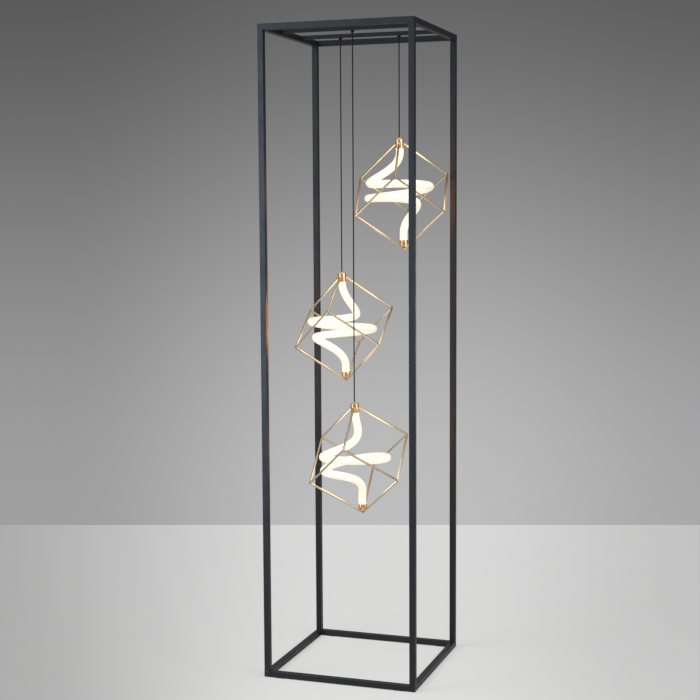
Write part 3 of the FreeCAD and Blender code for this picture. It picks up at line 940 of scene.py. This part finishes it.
@dataclass(frozen=True)
class SoftBox:
    """One soft box, with its width and height. Places and sizes are in metres."""

    name: str
    place: tuple[float, float, float]
    aim: tuple[float, float, float]
    size: tuple[float, float]
    watts: float
    colour: str = "#ffffff"
    lights: Lit = Lit.EVERYTHING

    def hang(self) -> bpy.types.Object:
        """Hang the lamp where it belongs, facing its aim.

        Returns:
            The lamp, which the camera doesn't see.
        """
        data = bpy.data.lights.new(self.name, "AREA")
        data.shape = "RECTANGLE"
        data.size, data.size_y = self.size
        data.energy = self.watts
        data.color = linear(self.colour)[:3]
        light = bpy.data.objects.new(self.name, data)
        facing = (Vector(self.aim) - Vector(self.place)).to_track_quat("-Z", "Y")
        light.matrix_world = Matrix.Translation(self.place) @ facing.to_matrix().to_4x4()
        light.visible_camera = False
        bpy.context.scene.collection.objects.link(light)
        return light


# A tall narrow box draws a cool edge on the front steel. The back posts take less of the same light.
COOL_STRIP = SoftBox(
    "front_strip_box", (-0.75, -1.5, 1.0), (-0.19, -0.19, 1.0), (0.3, 1.4), 25, "#c2dcf4", Lit.FRONT_STEEL
)


class PoolEdge(NamedTuple):
    """One edge of a pool of light: where its fall ends, where it starts, and the share of light left."""

    outer: float
    inner: float
    least: float


@dataclass
class Studio:
    """Floor, backdrop and lamps of a plain grey studio, with pools of light painted on the floor and the
    backdrop. Places are in metres, brightness in linear light.
    """

    camera: PhotoCamera
    horizon_px: float = 525.0
    wall_height: float = 9.0
    half_width: float = 9.0
    # The backdrop's painted light: its brightness at the foot and at the top, the height of its fall, and a
    # glow added all over.
    wall_foot: float = 0.46
    wall_top: float = 0.065
    wall_fade: float = 2.2
    wall_haze: float = 0.053
    # The floor's painted pool of light: its brightness in the middle and the share of it that glows.
    floor_tone: float = 0.82
    floor_own_share: float = 0.5
    floor_left: PoolEdge = PoolEdge(-1.6, 0.0, 0.57)
    floor_right: PoolEdge = PoolEdge(1.39, 0.34, 0.8)
    wall_left: PoolEdge = PoolEdge(-1.09, -0.02, 0.64)
    wall_right: PoolEdge = PoolEdge(1.39, 0.34, 0.74)
    narrowing_left: float = 0.255
    narrowing_right: float = 0.186
    narrowing_least: float = 0.5
    air_level: float = 0.42
    air_above: float = 1.3
    air_colour: str = "#f3f3f2"
    soft_boxes: tuple[SoftBox, ...] = (
        SoftBox("soft_box_left", (-2.4, -2.2, 3.0), (0, 0, 0.9), (1.8, 1.8), 40),
        SoftBox("soft_box_right", (3.2, -1.2, 2.0), (0, 0, 0.9), (1.8, 1.8), 18),
        COOL_STRIP,
        replace(COOL_STRIP, name="back_strip_box", watts=12, lights=Lit.BACK_POSTS),
        SoftBox(
            "side_strip_box", (0.65, 1.35, 0.85), (0.2, -0.19, 0.95), (0.3, 0.7), 1.7, "#f0f2f4",
            Lit.FRONT_RIGHT_POST,
        ),
        SoftBox("gold_box_left", (-2.0, -2.2, 1.0), (0, 0, 1.0), (1.2, 2.2), 15, "#fffbf2", Lit.GOLD),
        SoftBox("gold_box_right", (2.9, -0.6, 1.0), (0, 0, 1.0), (1.2, 2.2), 16, "#fdfdf8", Lit.GOLD),
        SoftBox("gold_rim_left", (-1.9, 1.2, 1.9), (0, 0, 0.95), (1.1, 1.3), 3.5, "#ffcba6", Lit.GOLD),
        SoftBox("gold_rim_right", (1.3, 1.4, 2.5), (0, 0, 0.95), (1.2, 1.2), 4, "#ffd0ae", Lit.GOLD),
    )
    takers: dict[Lit, list[bpy.types.Object]] = field(default_factory=dict)

    def __post_init__(self) -> None:
        """Find the line on the floor where the backdrop stands."""
        left = self.camera.on_floor(0, self.horizon_px)
        right = self.camera.on_floor(self.camera.image_px, self.horizon_px)
        self.way = (right - left).normalized()
        self.toward_camera = Vector((self.way.y, -self.way.x, 0))
        self.middle = (left + right) / 2

    def seen_directly(self, tree: Tree) -> Node:
        """Tell the rays that the camera, mirrors and glass send from those that only carry light.

        Args:
            tree: The material's tree.

        Returns:
            The node that gives one for such a ray and zero for the others.
        """
        path = add_node(tree, "ShaderNodeLightPath")
        seen = path.outputs["Is Camera Ray"]
        for kind in ("Is Glossy Ray", "Is Transmission Ray"):
            seen = add_node(
                tree, "ShaderNodeMath", {"operation": "MAXIMUM"}, Value__0=seen, Value__1=path.outputs[kind]
            )
        return seen

    def along(self, tree: Tree, place: Socket, way: Vector) -> Node:
        """Measure how far a point is from the backdrop's middle.

        Args:
            tree: The material's tree.
            place: Where the point is.
            way: The level direction to measure along.

        Returns:
            The node that gives the distance in metres.
        """
        start = way.dot(self.middle)
        whole = add_node(
            tree, "ShaderNodeVectorMath", {"operation": "DOT_PRODUCT"}, Vector__0=place, Vector__1=way
        )
        return add_node(tree, "ShaderNodeMath", {"operation": "SUBTRACT"}, Value__0=whole, Value__1=start)

    def pool(self, tree: Tree, across: Node, tone: Node | float, *edges: PoolEdge) -> Node:
        """Let a tone fall off at the edges of the pool of light.

        Args:
            tree: The material's tree.
            across: How far a point is to the right of the picture's middle.
            tone: The brightness in the middle of the pool.
            *edges: The edges.

        Returns:
            The node that gives the brightness at the point.
        """
        for outer, inner, least in edges:
            fall = add_node(
                tree, "ShaderNodeMapRange", {"interpolation_type": "SMOOTHSTEP"}, Value=across,
                From_Min=outer, From_Max=inner, To_Min=least, To_Max=1.0,
            )
            tone = add_node(tree, "ShaderNodeMath", {"operation": "MULTIPLY"}, Value__0=fall, Value__1=tone)
        return tone

    def narrowed(self, tree: Tree, across: Node, ahead: Node, narrowing: float) -> Node:
        """Stretch the distance across, so that the pool of light is narrower towards the camera.

        Args:
            tree: The material's tree.
            across: How far a point is to the right of the picture's middle.
            ahead: How far it is in front of the backdrop.
            narrowing: The share of its width that the pool loses in each metre.

        Returns:
            The node that gives the stretched distance.
        """
        kept = add_node(
            tree, "ShaderNodeMath", {"operation": "MULTIPLY_ADD"}, Value__0=ahead, Value__1=-narrowing,
            Value__2=1.0,
        )
        least = add_node(
            tree, "ShaderNodeMath", {"operation": "MAXIMUM"}, Value__0=kept, Value__1=self.narrowing_least
        )
        return add_node(tree, "ShaderNodeMath", {"operation": "DIVIDE"}, Value__0=across, Value__1=least)

    def fade_up(self, tree: Tree, height: Socket, fade: float) -> Node:
        """Grade the painted light from the backdrop's bright foot to its darker top, as the light falls off
        upwards.

        Args:
            tree: The material's tree.
            height: How high a point is.
            fade: The height at which the grading ends.

        Returns:
            The node that gives the brightness at the point.
        """
        return add_node(
            tree, "ShaderNodeMapRange", {"interpolation_type": "SMOOTHSTEP"}, Value=height, From_Min=0.0,
            From_Max=fade, To_Min=self.wall_foot, To_Max=self.wall_top,
        )

    def stage_paint(self, name: str) -> tuple[bpy.types.Material, Socket]:
        """Start a stage material.

        Args:
            name: The material's name.

        Returns:
            The material and where its points are.
        """
        material = bpy.data.materials.new(name)
        material.use_nodes = True
        material.node_tree.nodes.clear()
        return material, add_node(material.node_tree, "ShaderNodeTexCoord").outputs["Object"]

    def stand(self, name: str, corners: list[Vector], material: bpy.types.Material) -> bpy.types.Object:
        """Put a flat stage piece up.

        Args:
            name: The object's name.
            corners: Its four corners.
            material: Its paint.

        Returns:
            The piece.
        """
        mesh = bpy.data.meshes.new(name)
        mesh.from_pydata([tuple(corner) for corner in corners], [], [(0, 1, 2, 3)])
        return link_mesh(name, mesh, material)

    def wall(self) -> bpy.types.Object:
        """Stand the backdrop on the picture's horizon, glowing with a painted pool of light that darkens
        upwards and towards the sides. Only its front shows, so it hides nothing from behind.

        Returns:
            The backdrop.
        """
        material, place = self.stage_paint("grey_backdrop_paint")
        tree = material.node_tree
        across = self.along(tree, place, self.way)
        height = add_node(tree, "ShaderNodeSeparateXYZ", Vector=place).outputs["Z"]
        faded = self.fade_up(tree, height, self.wall_fade)
        graded = self.pool(tree, across, faded, self.wall_left, self.wall_right)
        tone = add_node(
            tree, "ShaderNodeMath", {"operation": "ADD"}, Value__0=graded, Value__1=self.wall_haze
        )
        glow = add_node(tree, "ShaderNodeEmission", Color=tone, Strength=1.0)
        paint = add_node(tree, "ShaderNodeBsdfDiffuse", Color=tone)
        front = add_node(
            tree, "ShaderNodeMixShader", Fac=self.seen_directly(tree), Shader__0=paint, Shader__1=glow
        )
        side = add_node(tree, "ShaderNodeNewGeometry").outputs["Backfacing"]
        clear = add_node(tree, "ShaderNodeBsdfTransparent")
        both = add_node(tree, "ShaderNodeMixShader", Fac=side, Shader__0=front, Shader__1=clear)
        add_node(tree, "ShaderNodeOutputMaterial", Surface=both)
        near = self.middle - self.way * self.half_width
        far = self.middle + self.way * self.half_width
        rise = Vector((0, 0, self.wall_height))
        return self.stand("backdrop", [near, far, far + rise, near + rise], material)

    def floor(self) -> bpy.types.Object:
        """Lay the pale floor, part lit by the lamps, so that it takes shadows, and part by a painted glow in
        the shape of a pool of light, which its matt colour follows too.

        Returns:
            The floor.
        """
        material, place = self.stage_paint("pale_floor_paint")
        tree = material.node_tree
        across = self.along(tree, place, self.way)
        ahead = self.along(tree, place, self.toward_camera)
        tone = self.floor_tone
        for narrowing, edge in (
            (self.narrowing_left, self.floor_left), (self.narrowing_right, self.floor_right)
        ):
            tone = self.pool(tree, self.narrowed(tree, across, ahead, narrowing), tone, edge)
        own = add_node(
            tree, "ShaderNodeMath", {"operation": "MULTIPLY"}, Value__0=self.seen_directly(tree),
            Value__1=self.floor_own_share,
        )
        glow = add_node(tree, "ShaderNodeEmission", Color=tone, Strength=own)
        paint = add_node(
            tree, "ShaderNodeMix", {"data_type": "RGBA"}, Factor=1.0 - self.floor_own_share,
            A=linear("#000000"), B=tone,
        )
        matt = add_node(tree, "ShaderNodeBsdfDiffuse", Color=paint)
        whole = add_node(tree, "ShaderNodeAddShader", Shader__0=matt, Shader__1=glow)
        add_node(tree, "ShaderNodeOutputMaterial", Surface=whole)
        left, right = (self.middle + self.way * side * self.half_width for side in (-1, 1))
        reach = self.toward_camera * self.half_width
        return self.stand("pale_floor", [left + reach, right + reach, right - reach, left - reach], material)

    def air(self) -> None:
        """Fill the room with soft light, brighter from above. The camera sees the backdrop's painted grading
        of light.
        """
        world = bpy.data.worlds.new("studio_air")
        world.use_nodes = True
        tree = world.node_tree
        tree.nodes.clear()
        sight = add_node(tree, "ShaderNodeTexCoord").outputs["Generated"]
        height = add_node(tree, "ShaderNodeSeparateXYZ", Vector=sight).outputs["Z"]
        strength = add_node(
            tree, "ShaderNodeMapRange", Value=height, From_Min=0.0, From_Max=1.0, To_Min=self.air_level,
            To_Max=self.air_above,
        )
        even = add_node(tree, "ShaderNodeBackground", Color=linear(self.air_colour), Strength=strength)
        graded = add_node(tree, "ShaderNodeBackground", Color=self.fade_up(tree, height, 1.0), Strength=1.0)
        camera_ray = add_node(tree, "ShaderNodeLightPath").outputs["Is Camera Ray"]
        whole = add_node(tree, "ShaderNodeMixShader", Fac=camera_ray, Shader__0=even, Shader__1=graded)
        add_node(tree, "ShaderNodeOutputWorld", Surface=whole)
        bpy.context.scene.world = world

    def build(self) -> None:
        """Set up floor, backdrop, lamps and the even light of the room."""
        self.floor()
        self.wall()
        for box in self.soft_boxes:
            lamp = box.hang()
            if box.lights in self.takers:
                light_only(lamp, self.takers[box.lights])
        self.air()
        bpy.context.scene.view_settings.view_transform = "Standard"


def pendants() -> list[Pendant]:
    """The three pendants, with where each hangs and how its light tube bends.

    Returns:
        The pendants from the top down.
    """
    return [
        Pendant(
            Storey.UPPER, across=80.0, depth=72.5, drop=265.5, heading=-79.7, tilt=3.0, lean=-128.0,
            coil_heading=167.3,
            bend_shares=[
                (0.25, 0.71), (0.90, 0.33), (1.05, 0.28), (0.95, 0.22), (0.80, 0.125), (0.83, 0.03),
                (0.86, -0.03), (0.98, -0.05), (1.02, -0.05), (0.65, -0.23), (0.05, -0.75),
            ],
        ),
        Pendant(
            Storey.MIDDLE, across=-79.0, depth=72.5, drop=612.5, heading=-88.7, tilt=3.4, lean=147.0,
            coil_heading=60.1,
            bend_shares=[
                (0.15, 0.67), (1.00, 0.23), (1.00, 0.18), (0.93, 0.15), (0.85, 0.065), (0.84, 0.00),
                (0.87, -0.08), (0.98, -0.16), (1.10, -0.21), (0.65, -0.35), (0.05, -0.83),
            ],
        ),
        Pendant(
            Storey.LOWER, across=3.0, depth=-72.5, drop=937.0, heading=-86.8, tilt=4.3, lean=-155.5,
            coil_heading=101.7,
            bend_shares=[
                (0.07, 0.73), (0.80, 0.21), (1.00, 0.115), (0.95, 0.11), (0.87, 0.05), (0.80, -0.025),
                (0.89, -0.09), (1.00, -0.175), (1.02, -0.25), (0.75, -0.31), (0.07, -0.73),
            ],
        ),
    ]


def starting(nodes: dict[str, bpy.types.Object], *starts: str) -> list[bpy.types.Object]:
    """The CAD nodes whose names start in one of some ways."""
    return [node for name, node in nodes.items() if name.startswith(starts)]


def main() -> None:
    """Build the looks on the CAD frame, in order, and report each piece."""
    for name in ("Cube", "Light", "Camera"):
        if bpy.data.objects.get(name):
            bpy.data.objects.remove(bpy.data.objects[name])
    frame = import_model()
    nodes = frame["nodes"]
    camera = PhotoCamera()
    camera.build()
    hung = pendants()
    for pendant in hung:
        pendant.cord()
    slots = {part["node"]: part["material_slot"] for part in frame["record"]["subparts"]}
    CadDress(nodes, slots).dress()
    sweeper = SweepTree()
    for pendant in hung:
        pendant.build(sweeper)
    gold = [piece for pendant in hung for piece in pendant.pieces if "tube" not in piece.name]
    steel = starting(nodes, "post_", "bottom_rail_")
    takers = {
        Lit.FRONT_STEEL: starting(nodes, "post_front", "bottom_rail_", "top_rail_front"),
        Lit.FRONT_RIGHT_POST: starting(nodes, "post_front_right"),
        Lit.BACK_POSTS: starting(nodes, "post_back"),
        Lit.GOLD: gold,
    }
    for pendant in hung:
        SPARKLE.hang(pendant, gold)
        SPILL.hang(pendant, steel)
    Studio(camera, takers=takers).build()


if __name__ == "__main__":
    main()
